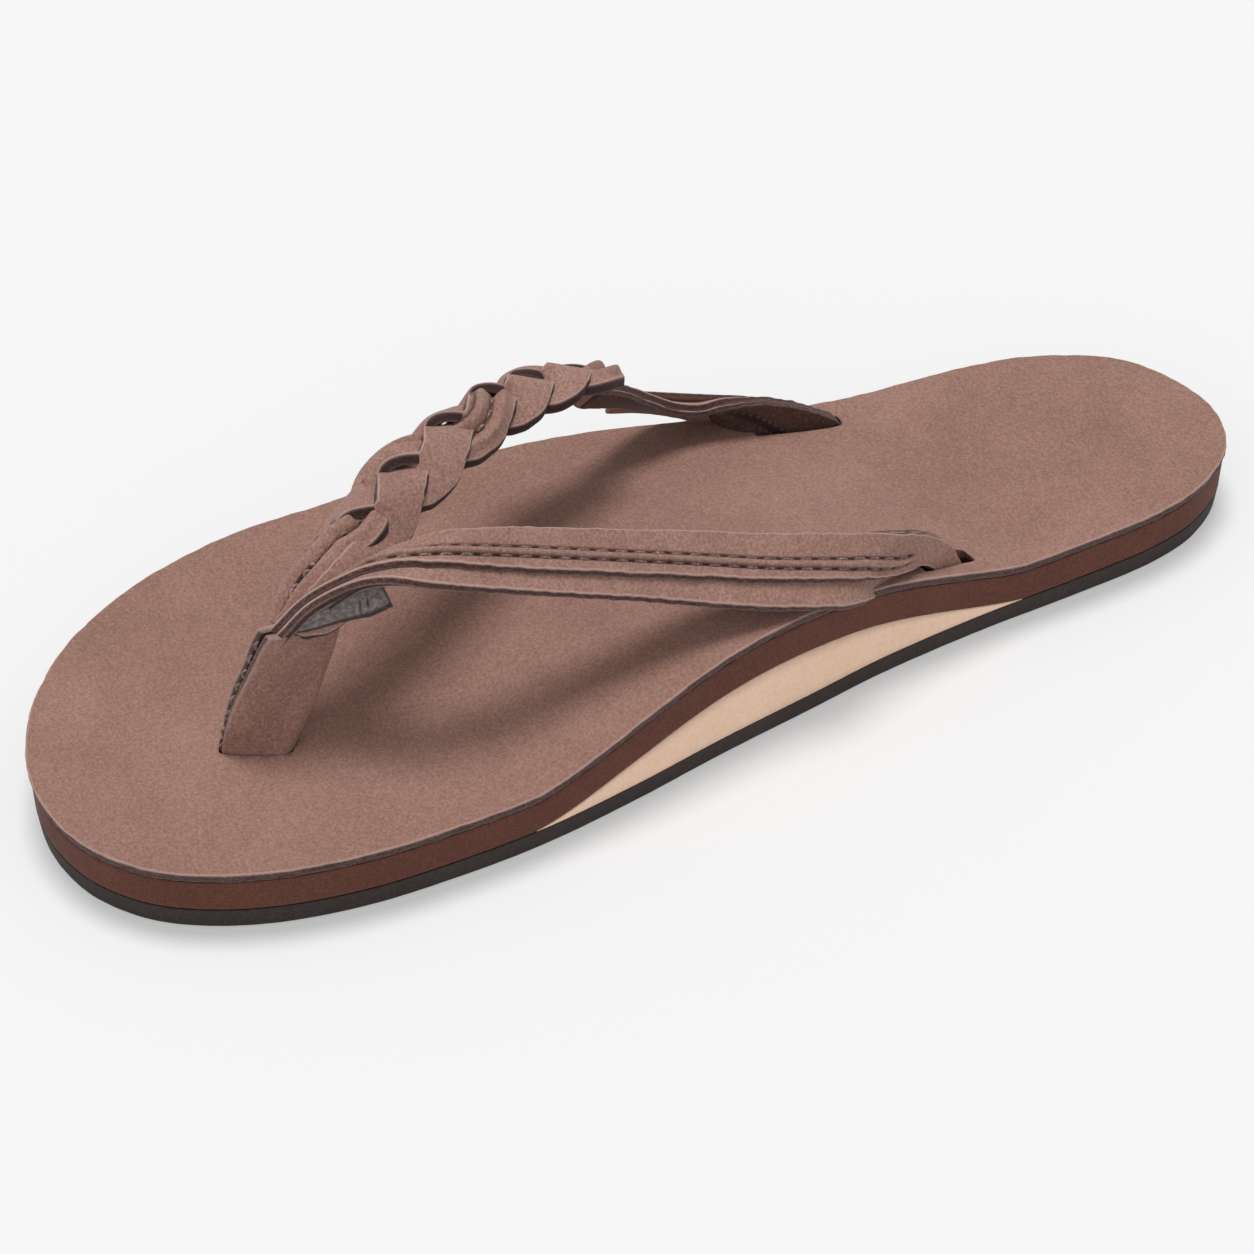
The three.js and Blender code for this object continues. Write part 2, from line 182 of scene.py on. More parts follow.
def buildNapGroup():  # brushed leather: a fine nap over slow clouds of tone
    group, start, end = newGroup(
        "brushedNap",
        [("Vector", "NodeSocketVector", None), ("Cloud Size", "NodeSocketFloat", 45.0),
         ("Grain Size", "NodeSocketFloat", 1500.0)],
        [("Cloud", "NodeSocketFloat"), ("Grain", "NodeSocketFloat"), ("Height", "NodeSocketFloat")],
    )
    vector = start.outputs["Vector"]
    cloud = addNode(group, "ShaderNodeTexNoise", {
        "Vector": vector, "Scale": start.outputs["Cloud Size"], "Detail": 5.0, "Roughness": 0.62,
        "Distortion": 0.4})
    grain = addNode(group, "ShaderNodeTexNoise", {
        "Vector": vector, "Scale": start.outputs["Grain Size"], "Detail": 3.0, "Roughness": 0.6})
    pores = addNode(group, "ShaderNodeTexNoise", {
        "Vector": vector, "Scale": mathNode(group, "MULTIPLY", start.outputs["Grain Size"], 0.33),
        "Detail": 4.0, "Roughness": 0.65})
    height = weighted(group, grain.outputs[0], 0.55, pores.outputs[0], 0.6)
    group.links.new(cloud.outputs[0], end.inputs["Cloud"])
    group.links.new(weighted(group, grain.outputs[0], 0.8, pores.outputs[0], 0.2), end.inputs["Grain"])
    group.links.new(height, end.inputs["Height"])
    return group


def buildFibreGroup():  # a cut edge: torn fibres that run along the leather
    group, start, end = newGroup(
        "cutFibres",
        [("UV", "NodeSocketVector", None), ("Vector", "NodeSocketVector", None)],
        [("Fibre", "NodeSocketFloat"), ("Fuzz", "NodeSocketFloat")],
    )
    stretched = addNode(group, "ShaderNodeMapping", {"Vector": start.outputs["UV"], "Scale": (0.9, 5.0, 1.0)})
    fibre = addNode(group, "ShaderNodeTexNoise", {
        "Vector": stretched.outputs[0], "Scale": 1.0, "Detail": 4.0, "Roughness": 0.7, "Distortion": 0.3})
    fuzz = addNode(group, "ShaderNodeTexNoise", {
        "Vector": start.outputs["Vector"], "Scale": 2300.0, "Detail": 4.0, "Roughness": 0.75})
    group.links.new(fibre.outputs[0], end.inputs["Fibre"])
    group.links.new(fuzz.outputs[0], end.inputs["Fuzz"])
    return group


napGroup = buildNapGroup()
fibreGroup = buildFibreGroup()


def ramp(tree, factor, stops):
    node = tree.nodes.new("ShaderNodeValToRGB")
    tree.links.new(factor, node.inputs[0])
    elements = node.color_ramp.elements
    while len(elements) < len(stops):
        elements.new(0.5)
    for element, (place, colour) in zip(elements, stops):
        element.position = place
        element.color = colour
    return node.outputs[0]


darkMarkAndShade = linear(38, 24, 21)  # needle holes and seams, and painted shade inside folds, in stitch grooves, under straps and in the braid


def leatherMaterial(name, tones, edge=None, grain=1500.0, bump=0.35, cloud=45.0, sheen=0.12, rough=0.86):
    # tones: dark, middle and light face colours; edge: three colours of the cut edge and the worn rim's
    material = bpy.data.materials.new(name)
    material.use_nodes = True
    tree = material.node_tree
    tree.nodes.clear()
    spot = addNode(tree, "ShaderNodeTexCoord")
    nap = useGroup(tree, napGroup, {
        "Vector": spot.outputs["Object"], "Cloud Size": cloud, "Grain Size": grain})
    tone = weighted(tree, nap.outputs["Cloud"], 0.26, nap.outputs["Grain"], 0.74)
    face = ramp(tree, tone, [(0.37, tones[0]), (0.5, tones[1]), (0.63, tones[2])])
    height = nap.outputs["Height"]
    # the wear attribute's third channel carries dark marks and painted shade as well as wear
    wearAndShade = addNode(tree, "ShaderNodeAttribute", attribute_name="wearAndShade")
    split = addNode(tree, "ShaderNodeSeparateXYZ", {0: wearAndShade.outputs["Vector"]})
    cut, worn, dark = split.outputs[0], split.outputs[1], split.outputs[2]
    if edge:
        fibres = useGroup(tree, fibreGroup, {"UV": spot.outputs["UV"], "Vector": spot.outputs["Object"]})
        mixed = weighted(tree, fibres.outputs["Fibre"], 0.55, fibres.outputs["Fuzz"], 0.45)
        torn = ramp(tree, mixed, [(0.38, edge[0]), (0.5, edge[1]), (0.64, edge[2])])
        rag = mathNode(tree, "MULTIPLY", mathNode(tree, "SUBTRACT", fibres.outputs["Fuzz"], 0.5), 0.9)
        cutPast = mathNode(tree, "SUBTRACT", mathNode(tree, "ADD", cut, rag), 0.32)
        cutMask = mathNode(tree, "MULTIPLY", cutPast, 3.2, clamp=True)
        face = mixColour(tree, cutMask, face, torn)
        wornMask = mathNode(tree, "MULTIPLY", mathNode(tree, "ADD", worn, rag), worn, clamp=True)
        face = mixColour(tree, mathNode(tree, "MULTIPLY", wornMask, 0.6), face, edge[3])
        torn = mathNode(tree, "MULTIPLY", mathNode(tree, "MULTIPLY", mixed, cut), 2.5)
        height = mathNode(tree, "ADD", height, torn)
    # the dark channel paints needle holes and seams, and also painted shade in folds, stitch grooves, under
    # straps and in the braid
    face = mixColour(tree, mathNode(tree, "MULTIPLY", dark, 0.85, clamp=True), face, darkMarkAndShade)
    bumpNode = addNode(tree, "ShaderNodeBump", {"Strength": bump, "Distance": 0.0004, "Height": height})
    rougher = mathNode(tree, "MULTIPLY", nap.outputs["Grain"], 0.2)
    shader = addNode(tree, "ShaderNodeBsdfPrincipled", {
        "Base Color": face, "Normal": bumpNode.outputs[0],
        "Roughness": mathNode(tree, "ADD", rougher, rough - 0.1)})
    shader.inputs["Specular IOR Level"].default_value = 0.25
    shader.inputs["Sheen Weight"].default_value = sheen
    shader.inputs["Sheen Roughness"].default_value = 0.5
    out = addNode(tree, "ShaderNodeOutputMaterial")
    tree.links.new(shader.outputs[0], out.inputs[0])
    return material


colours = {
    "footbed": [linear(134, 98, 86), linear(151, 114, 101), linear(168, 131, 118)],
    "strap": [linear(134, 99, 88), linear(156, 119, 107), linear(178, 141, 129)],
    "lining": [linear(66, 46, 40), linear(84, 60, 53), linear(104, 77, 69)],
    "edge": [linear(46, 29, 27), linear(74, 51, 47), linear(122, 94, 88), linear(212, 176, 166)],
    "suede": [linear(86, 76, 76), linear(116, 105, 105), linear(150, 140, 139)],
    "foam": [linear(84, 47, 36), linear(97, 57, 45), linear(110, 68, 54)],
    "tan": [linear(246, 206, 176), linear(250, 213, 186), linear(253, 222, 198)],
    "rubber": [linear(48, 40, 38), linear(56, 48, 45), linear(66, 57, 53)],
    "nylon": [linear(50, 38, 35), linear(62, 48, 44), linear(80, 64, 58)],
    "thread": [linear(92, 66, 60), linear(130, 100, 92), linear(184, 156, 146)],
}

edgeTones = colours["edge"]
footbedLeather = leatherMaterial("footbedLeather", colours["footbed"], edgeTones, grain=1700.0, cloud=38.0)
strapLeather = leatherMaterial("strapLeather", colours["strap"], edgeTones, grain=1800.0, bump=0.5,
                               cloud=80.0)
innerLeather = leatherMaterial("innerLeather", colours["lining"], edgeTones, grain=1250.0, bump=0.5)
greySuede = leatherMaterial("greySuede", colours["suede"], edgeTones, grain=1100.0, bump=0.7, sheen=0.3)
brownFoam = leatherMaterial("brownFoam", colours["foam"], grain=1700.0, bump=0.22, cloud=60.0, sheen=0.05)
tanFoam = leatherMaterial("tanFoam", colours["tan"], grain=1200.0, bump=0.15, cloud=50.0, sheen=0.0)
blackRubber = leatherMaterial("blackRubber", colours["rubber"], grain=1400.0, bump=0.25, sheen=0.0, rough=0.7)
wovenNylon = leatherMaterial("wovenNylon", colours["nylon"], grain=900.0, bump=0.6, sheen=0.1)
waxedThread = leatherMaterial("waxedThread", colours["thread"], grain=2600.0, bump=0.5, sheen=0.1, rough=0.7)
print("materials made")


# the sole

sole = {
    "halfBall": 47.8,
    "toeTipX": 9.0,
    "capInset": 0.3,  # a layer's first and last rows lie this far inside its tips
    "heelShift": 4.3,
    "heelWidth": 60.0,
    "outsoleThick": 4.5,
    "midsoleThick": 6.8,
    "midsoleSwell": 0.8,
    "leatherThick": 2.2,
    "glueLine": 0.25,
    "archHeight": 11.3,
    "archOuterShare": 0.34,
    "archCentreY": 11.0,
    "archHalfLength": 57.0,
    "layerOverlap": 0.1,  # neighbouring foam layers close up by this much each, as glued foam does
    "around": 240,  # cells along each side of the outline
}
boxWidth = 94.4  # of the footbed's box at that half ball
soleLow, soleHigh = (np.array(corner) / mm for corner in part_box("top_sole"))
halfLength = (soleHigh[1] - soleLow[1]) / 2 + sole["capInset"]
halfBall = sole["halfBall"] * (soleHigh[0] - soleLow[0]) / boxWidth

# shares of the half length and half width, from the toe down the arch side and back up the outer side
foreArch = [(0.44, -0.976), (0.674, -0.908), (0.853, -0.79), (0.955, -0.64), (0.9856, -0.48), (0.98, -0.336),
            (0.93, -0.176)]
rearArch = [(1.235, -0.024), (1.14, 0.144), (1.057, 0.288), (1.01, 0.464), (1, 0.64), (0.97, 0.784),
            (0.85, 0.888), (0.57, 0.972)]
rearOuter = [(-0.45, 0.95), (-0.76, 0.848), (-0.91, 0.736), (-0.99, 0.576), (-1.05, 0.4), (-1.19, 0.224),
             (-1.39, 0.056)]
foreOuter = [(-0.9, -0.136), (-0.975, -0.352), (-0.98, -0.512), (-0.89, -0.672), (-0.716, -0.808),
             (-0.505, -0.9), (-0.295, -0.956), (-0.063, -0.992)]


def forePoint(share):
    return share[0] * halfBall, share[1] * halfLength


def rearPoint(share):
    return sole["heelShift"] + share[0] * sole["heelWidth"] / 2, share[1] * halfLength


ring = [(sole["toeTipX"], -halfLength), *map(forePoint, foreArch), *map(rearPoint, rearArch),
        rearPoint((0.12, 1)), *map(rearPoint, rearOuter), *map(forePoint, foreOuter)]
wrapped = ring[-3:] + ring + ring[:4]
lap = np.array([3, 3 + len(ring)]) / (len(wrapped) - 1)
dense = throughPoints(wrapped, np.linspace(*lap, 6000))
dense = np.roll(dense[:-1], -dense[:, 1].argmin(), axis=0)
heelIndex = dense[:, 1].argmax()
archLine = dense[:heelIndex + 1]
outerLine = np.vstack([dense[heelIndex:], dense[:1]])[::-1]
toeY, heelY = archLine[0, 1], archLine[-1, 1]


def archX(y):
    return np.interp(y, archLine[:, 1], archLine[:, 0])


def outerX(y):
    return np.interp(y, outerLine[:, 1], outerLine[:, 0])


def archBump(y):
    t = (np.asarray(y, float) - sole["archCentreY"]) / sole["archHalfLength"]
    return np.clip(1 - t * t, 0, 1) ** 1.5


def wedgeTop(x, y):
    across = smoothStep((x - outerX(y)) / np.maximum(archX(y) - outerX(y), 1e-3), 0, 1)
    share = sole["archOuterShare"] + (1 - sole["archOuterShare"]) * across
    return sole["outsoleThick"] + sole["glueLine"] + sole["archHeight"] * archBump(y) * share


def midsoleTop(x, y):
    return wedgeTop(x, y) + sole["glueLine"] + sole["midsoleThick"] + sole["midsoleSwell"] * archBump(y)


def footbed(x, y):
    return midsoleTop(x, y) + sole["glueLine"] + sole["leatherThick"]


def outlineRing(inset, count):
    # points round the outline, moved inwards; vertex k and its partner across the sole share a y
    turn = np.linspace(0, 1, count + 1)
    y = toeY + (heelY - toeY) * (1 - np.cos(np.pi * turn)) / 2
    line = np.vstack([np.c_[archX(y), y], np.c_[outerX(y), y][::-1][1:]])
    ahead, behind = np.roll(line[:-1], -1, axis=0), np.roll(line[:-1], 1, axis=0)
    along = unit(ahead - behind)
    inward = np.c_[-along[:, 1], along[:, 0]]
    moved = line[:-1] + inward * inset
    return np.vstack([moved, moved[:1]])


def slab(low, high, inset, topRound, bottomRound, lean=0.0, topRings=26, bottomRings=8, ragged=0.0,
         wornTop=1.0):
    # one closed layer: the top from the middle line out, round the edge, down the wall and back in below
    count = sole["around"]
    rows = []  # part of the section, inset or share of the way out, drop or rise, wear
    for k in range(topRings + 1):
        share = 1 - (1 - k / topRings) ** 1.6
        rows.append(("top", share, 0.0, (0, 0, 0)))
    for k in range(1, 5):
        angle = k * math.pi / 8
        rows.append(("edge", topRound * (1 - math.sin(angle)), topRound * (1 - math.cos(angle)),
                     (0.25 * k, wornTop * (0.5, 1, 0.8, 0.2)[k - 1], 0)))
    for k in range(1, 6):
        rows.append(("wall", k / 6, 0.0, (1, 0, 0)))
    for k in range(4):
        angle = k * math.pi / 6
        rows.append(("under", bottomRound * (1 - math.cos(angle)), bottomRound * (1 - math.sin(angle)),
                     (1, (0, 0.4, 0.5, 0.2)[k], 0)))
    for k in range(1, bottomRings + 1):
        rows.append(("bottom", 1 - k / bottomRings, 0.0, (0, 0, 0)))
    rings = {}

    def ringAt(offset):
        key = round(offset, 4)
        if key not in rings:
            rings[key] = outlineRing(key, count)
        return rings[key]

    edgeRing = ringAt(0.0)
    lengths = np.r_[0, np.cumsum(np.linalg.norm(np.diff(edgeRing, axis=0), axis=1))]
    middleY = edgeRing[:, 1] * 0.8
    middle = np.c_[(archX(middleY) + outerX(middleY)) / 2, middleY]

    def place(u, v):
        column = np.round(u * 2 * count).astype(int)
        row = np.round(v * (len(rows) - 1)).astype(int)
        points = np.zeros((len(u), 3))
        wearAndShade = np.zeros((len(u), 3))
        flat = np.zeros((len(u), 2))
        for index, (part, a, b, worn) in enumerate(rows):
            pick = row == index
            col = column[pick]
            ring0 = ringAt(inset)[col]
            if part in ("top", "bottom"):
                rim = ringAt(inset + (topRound if part == "top" else bottomRound + lean))[col]
                xy = middle[col] + (rim - middle[col]) * a
                z = high(xy[:, 0], xy[:, 1]) if part == "top" else low(xy[:, 0], xy[:, 1])
            elif part == "edge":
                xy = ringAt(inset + a)[col]
                z = high(ring0[:, 0], ring0[:, 1]) - b
            elif part == "wall":
                xy = ringAt(inset + lean * a)[col]
                top = high(ring0[:, 0], ring0[:, 1]) - topRound
                z = top + (low(ring0[:, 0], ring0[:, 1]) + bottomRound - top) * a
            else:
                xy = ringAt(inset + lean + a)[col]
                z = low(ring0[:, 0], ring0[:, 1]) + b
            if ragged and part != "top" and part != "bottom":
                wave = np.array([noise.noise(Vector((x / 2.2, y / 2.2, index * 0.35))) for x, y in xy])
                outward = unit(ring0 - middle[col])
                xy = xy + outward * wave[:, None] * ragged
            points[pick] = np.c_[xy, z]
            wearAndShade[pick] = worn
            flat[pick] = np.c_[lengths[col], z]
        return points, wearAndShade, flat

    return shapedGrid(2 * count, len(rows) - 1, place)


# paths of the straps

def strapPath(stations, outer):
    # stations: x, y, height over the footbed, tilt of the outer face in degrees, width
    stations = np.asarray(stations, float)
    x, y = stations[:, 0], stations[:, 1]
    middle = np.c_[x, y, footbed(x, y) + stations[:, 2]]

    def at(t):
        t = np.asarray(t, float)
        centre = throughPoints(middle, t)
        along = unit(throughPoints(middle, t + 1e-3) - throughPoints(middle, t - 1e-3))
        side = unit(np.cross(along, np.array([0, 0, outer])))
        up = np.cross(side, along) * outer
        form = throughPoints(stations[:, 3:], t)
        angle = np.radians(form[:, 0])[:, None]
        return {
            "centre": centre,
            "along": along,
            "across": side * np.cos(angle) - up * np.sin(angle),
            "face": side * np.sin(angle) + up * np.cos(angle),
            "half": form[:, 1] / 2,
        }

    return at


archPath = strapPath([
    (9.2, -78.4, 23.2, -38, 7), (10.2, -72, 28.9, -38, 7.6), (12.5, -64.6, 33.2, -33, 8.8),
    (15, -58.6, 36, -18, 10.4), (17.2, -51.6, 36.4, 8, 12), (19.2, -43.5, 34.9, 26, 12.8),
    (24, -25, 25.5, 34, 12.8), (28.2, -6, 15.1, 36, 13), (32.2, 11, 8.3, 36, 13), (34.1, 24, 6, 44, 12),
    (33.2, 31, 5.5, 60, 10.6), (32.4, 37.5, 3.7, 76, 10.4), (31, 44.6, 0.3, 86, 11.5),
    (30.2, 48.4, -6, 90, 12), (29.8, 51.5, -12, 90, 12),
], 1)
braidPath = strapPath([
    (8, -77, 24, 40, 8), (6.2, -72.3, 27.1, 10, 12), (3.4, -62, 33.1, 5, 16), (-3, -50, 36.8, 5, 17),
    (-11, -35, 36.3, 10, 17), (-17.5, -21, 32.7, 20, 16), (-21.8, -9, 28.1, 35, 15), (-23.8, 3, 23.4, 50, 14),
    (-24.2, 13, 16.1, 50, 12),
], -1)
postPath = strapPath([
    (10.2, -85, -7.3, 124, 12.2), (10.2, -84.5, -2.3, 120, 12.4), (10.2, -82.9, 3.8, 112, 14),
    (10, -79.6, 10.8, 102, 16.3), (9.6, -76.3, 17.8, 92, 17.4), (9.4, -74, 22.8, 84, 18.2),
    (9.2, -72, 26.8, 80, 18.6),
], -1)
outerPath = strapPath([
    (-24, 6, 20.5, 58, 7), (-24, 11.6, 17.7, 52, 7.5), (-24, 17.1, 13.5, 38, 9), (-24, 22.6, 9.6, 28, 10),
    (-23.7, 28, 7.7, 28, 11), (-23.3, 32.7, 8, 44, 12), (-22.8, 37.6, 7.8, 74, 12.5),
    (-22.2, 42.4, 7.1, 86, 12.5), (-21.5, 47, 5.7, 88, 12.5), (-20.8, 51.9, 3.5, 90, 12.5),
    (-20.2, 56.9, 0.3, 90, 12.5), (-19.8, 60, -4, 90, 12.5),
], -1)
farPath = strapPath([
    (-26, 13.8, 15.3, 60, 8), (-26.5, 19.6, 12.7, 58, 8), (-26.5, 26.2, 10.2, 58, 9),
    (-26, 32.7, 8.3, 64, 10), (-25, 38.9, 7, 78, 11), (-24, 42.8, 5.6, 86, 11), (-23, 48, 3.4, 90, 11),
], -1)
tonguePath = strapPath([
    (10.5, -77.5, 25.7, 90, 0.8), (12, -73, 27.2, 88, 3.6), (13.6, -67.3, 29, 84, 5.6),
    (15, -62.7, 30.2, 80, 6.6), (16, -59.5, 31.4, 76, 5.6),
], 1)


def pathLength(path, start=0.0, end=1.0):
    t = np.linspace(start, end, 200)
    steps = np.linalg.norm(np.diff(path(t)["centre"], axis=0), axis=1)
    return t, np.r_[0, np.cumsum(steps)]


# the rounded edge of cut leather, from the face down: share of the thickness, share of the corner, wear
cutEdge = (
    (0.97, 0.4, (0.2, 0.9, 0)), (0.85, 0.06, (0.6, 0.9, 0)), (0.68, 0.0, (1, 0.1, 0)),
    (0.4, 0.0, (1, 0, 0)), (0.16, 0.06, (0.9, 0.6, 0)), (0.03, 0.4, (0.4, 0.6, 0)),
)


def bandSection(faceCells, corner):
    # places round a leather band: share across, share of the thickness, distance in from the edge, wear
    points = []
    for lift, side, edge in ((1.0, 1, cutEdge), (0.0, -1, cutEdge[::-1])):
        for k in range(faceCells + 1):
            points.append((side * (2 * k / faceCells - 1), lift, corner, (0, 0, 0)))
        for edgeLift, inward, wearAndShade in edge:
            points.append((side, edgeLift, corner * inward, wearAndShade))
    points.append(points[0])
    return points


def level(height):
    return lambda t, reach: np.full(len(t), height)


def sides(path, left=-1.0, right=1.0):  # a band's two edges, as shares of the path's half width
    def edges(t):
        half = path(t)["half"]
        return left * half, right * half

    return edges


def leatherBand(path, start, end, rows, low, high, edges, faceCells=10, corner=0.45, ragged=0.12,
                dark=None, seed=1, bevel=0.0, innerBevel=0.0):
    # low and high are lifts off the path's middle and edges gives the two sides; dark marks holes and seams,
    # and paints shade in folds, grooves and under straps
    section = bandSection(faceCells, corner)
    shares = np.array([p[0] for p in section], float)
    lifts = np.array([p[1] for p in section])
    inwards = np.array([p[2] for p in section])
    sectionWearAndShade = np.array([p[3] for p in section], float)
    t0, lengths = pathLength(path, start, end)

    def place(u, v):
        index = np.round(u * (len(section) - 1)).astype(int)
        t = start + (end - start) * v
        at = path(t)
        left, right = edges(t)
        middle, half = (left + right) / 2, (right - left) / 2
        share = shares[index]
        reach = middle + share * np.maximum(half - inwards[index], 0.01)
        reach = reach + (1 - lifts[index]) * (bevel * (share > 0.99) - innerBevel * (share < -0.99))
        lift = low(t, reach) + (high(t, reach) - low(t, reach)) * lifts[index]
        along = np.interp(t, t0, lengths)
        spots = (Vector((a / 1.7, b * 3.1 + seed, seed * 2.7)) for a, b in zip(along, share))
        wave = np.array([noise.noise(spot) for spot in spots])
        reach = reach + wave * ragged * np.abs(share) ** 8 * np.sign(share)
        points = at["centre"] + at["across"] * reach[:, None] + at["face"] * lift[:, None]
        wearAndShade = sectionWearAndShade[index].copy()
        if dark is not None:
            wearAndShade[:, 2] = np.clip(dark(t, share, reach, lifts[index]), 0, 1)
        return points, wearAndShade, np.c_[along, reach + lift * 1.3]

    return shapedGrid(len(section) - 1, rows, place, caps=True)


# sole pieces

def lowTopSole(x, y):
    return midsoleTop(x, y) + sole["glueLine"]


def highMidsole(x, y):
    return midsoleTop(x, y)


def lowMidsole(x, y):
    return wedgeTop(x, y) + sole["glueLine"] - sole["layerOverlap"]


def flatAt(height):
    return lambda x, y: np.full(np.shape(x), float(height))


def makeWedge():
    # a lens of foam: full height on the arch side, fading out to the front and the back
    wedge = {"inset": 0.75, "lean": 0.25, "tip": 0.06, "rows": 90, "across": 24, "wall": 4}
    reach = sole["archHalfLength"] * math.sqrt(1 - (wedge["tip"] / sole["archHeight"]) ** (2 / 3))
    cells = 2 * (wedge["across"] + wedge["wall"])

    def place(u, v):
        y = sole["archCentreY"] + reach * np.sin((v - 0.5) * np.pi)
        step = u * cells
        left, right = outerX(y) + wedge["inset"], archX(y) - wedge["inset"]
        top = np.clip(step / wedge["across"], 0, 1)
        down = np.clip((step - wedge["across"]) / wedge["wall"], 0, 1)
        back = np.clip((step - wedge["across"] - wedge["wall"]) / wedge["across"], 0, 1)
        rise = np.clip((step - 2 * wedge["across"] - wedge["wall"]) / wedge["wall"], 0, 1)
        share = top - back
        x = left + (right - left) * share
        low = np.full(len(u), sole["outsoleThick"] + sole["glueLine"] - sole["layerOverlap"])
        high = wedgeTop(x, y) + sole["layerOverlap"]
        height = high + (low - high) * np.where(back + rise > 0, 1 - rise, down)
        lean = wedge["lean"] * (high - height) / np.maximum(high - low, 1e-3)
        x = x - lean * np.where(share > 0.5, 1, -1) * (np.abs(share - 0.5) > 0.49)
        return np.c_[x, y, height], np.zeros((len(u), 3)), np.c_[y, height]

    return makePiece(shapedGrid(cells, wedge["rows"], place, caps=True), "archWedge", ["arch_wedge"],
                     tanFoam)


topSole = makePiece(
    slab(lowTopSole, footbed, 0.0, 0.55, 0.3, lean=0.3, topRings=40, ragged=0.22),
    "topSole", ["top_sole"], footbedLeather)
midsole = makePiece(
    slab(lowMidsole, highMidsole, 0.5, 0.15, 0.12, lean=0.35, ragged=0.05, wornTop=0.0, bottomRings=26),
    "midsoleFoam", ["midsole"], brownFoam)
makeWedge()
outsoleTop = flatAt(sole["outsoleThick"] + sole["layerOverlap"])
makePiece(
    slab(flatAt(0), outsoleTop, 0.9, 0.12, 0.5, lean=0.5, ragged=0.05, wornTop=0.0),
    "outsoleRubber", ["outsole"], blackRubber)
print("sole layers made")


# slots in the footbed

slots = {  # shares of the path's length, then reaches across it and lifts off it
    "arch": {"path": archPath, "start": 0.86, "end": 1.0, "left": -9.2, "right": 0.4, "low": -1.7,
             "high": 2.2, "spare": 0.3},
    "outer": {"path": outerPath, "start": 0.62, "end": 1.0, "left": 0.0, "right": 12.0, "low": -2.2,
              "high": 1.2, "spare": 0.25},
    "toe": {"path": postPath, "start": 0.0, "end": 0.5, "left": -6.6, "right": 6.3, "low": -2.3,
            "high": 2.3, "spare": 0.3},
}


def boxy(values):  # a circle's sine or cosine pushed out towards a rounded box
    return np.sign(values) * np.abs(values) ** 0.35


def slotCutter(path, start, end, left, right, low, high, spare):
    def place(u, v):
        at = path(start + (end - start) * v)
        turn = 2 * np.pi * u
        reach = (left + right) / 2 + ((right - left) / 2 + spare) * boxy(np.cos(turn))
        lift = (low + high) / 2 + ((high - low) / 2 + spare) * boxy(np.sin(turn))
        points = at["centre"] + at["across"] * reach[:, None] + at["face"] * lift[:, None]
        return points, np.zeros((len(u), 3)), np.zeros((len(u), 2))

    return makeObject(shapedGrid(32, 24, place, caps=True), "cutter")


def cutSlots(piece, cutters):
    for cutter in cutters:
        cut = piece.modifiers.new("slot", "BOOLEAN")
        cut.operation = "DIFFERENCE"
        cut.solver = "EXACT"
        cut.object = cutter
    shape = bpy.data.meshes.new_from_object(piece.evaluated_get(bpy.context.evaluated_depsgraph_get()))
    piece.modifiers.clear()
    piece.data = shape


cutters = [slotCutter(**slot) for slot in slots.values()]
for sunk in (topSole, midsole):
    cutSlots(sunk, cutters)
for cutter in cutters:
    bpy.data.objects.remove(cutter)
print("slots cut")


# stitches

def threadSpot(ends, reaches, lift, side=1):  # one stitch: its two ends and the way that it faces
    reaches = np.array(reaches)[:, None]
    first, second = ends["centre"] + ends["across"] * reaches + ends["face"] * lift
    return first, second, ends["face"][0] * side


def threadPiece(spots, radius, segments=8):  # each stitch is a short bowed thread
    parts = []
    for start, end, outward in spots:
        start, end, outward = (np.asarray(p, float) for p in (start, end, outward))
        along = unit(end - start)
        side = unit(np.cross(along, outward))
        out = np.cross(side, along)
        length = np.linalg.norm(end - start)

        def place(u, v, start=start, along=along, side=side, out=out, length=length):
            turn = 2 * np.pi * u
            bow = np.sin(np.pi * v)
            ends = np.clip(np.sin(np.pi * np.clip(v, 0.001, 0.999)) * 2.2, 0.05, 1) ** 0.5
            twist = 1 + 0.12 * np.sin(v * length / radius * 1.6 + turn)
            r = radius * ends * twist
            centre = start + along * (v * length)[:, None] + out * (radius * (1.5 * bow - 0.9))[:, None]
            points = centre + side * (r * np.cos(turn))[:, None] + out * (r * np.sin(turn))[:, None]
            return points, np.zeros((len(u), 3)), np.c_[v * length, turn]

        parts.append(shapedGrid(segments, 8, place, caps=True))
    return joined(*parts)


# toe post

post = {
    "start": 0.1,
    "end": 0.87,
    "thick": 4.6,
    "wall": 1.7,
    "seamGap": 0.5,
    "seamPinch": 0.82,  # the layers draw together at the seam to this share of the thickness
    "stitchPitch": 3.4,
    "stitchReach": 1.0,  # half a stitch along the post
    "threadRadius": 0.34,
    "coreThick": 1.0,
    "coreShort": 0.06,  # share of the path by which the core ends below the wrap
    "coreSides": (-0.55, 0.5),
}


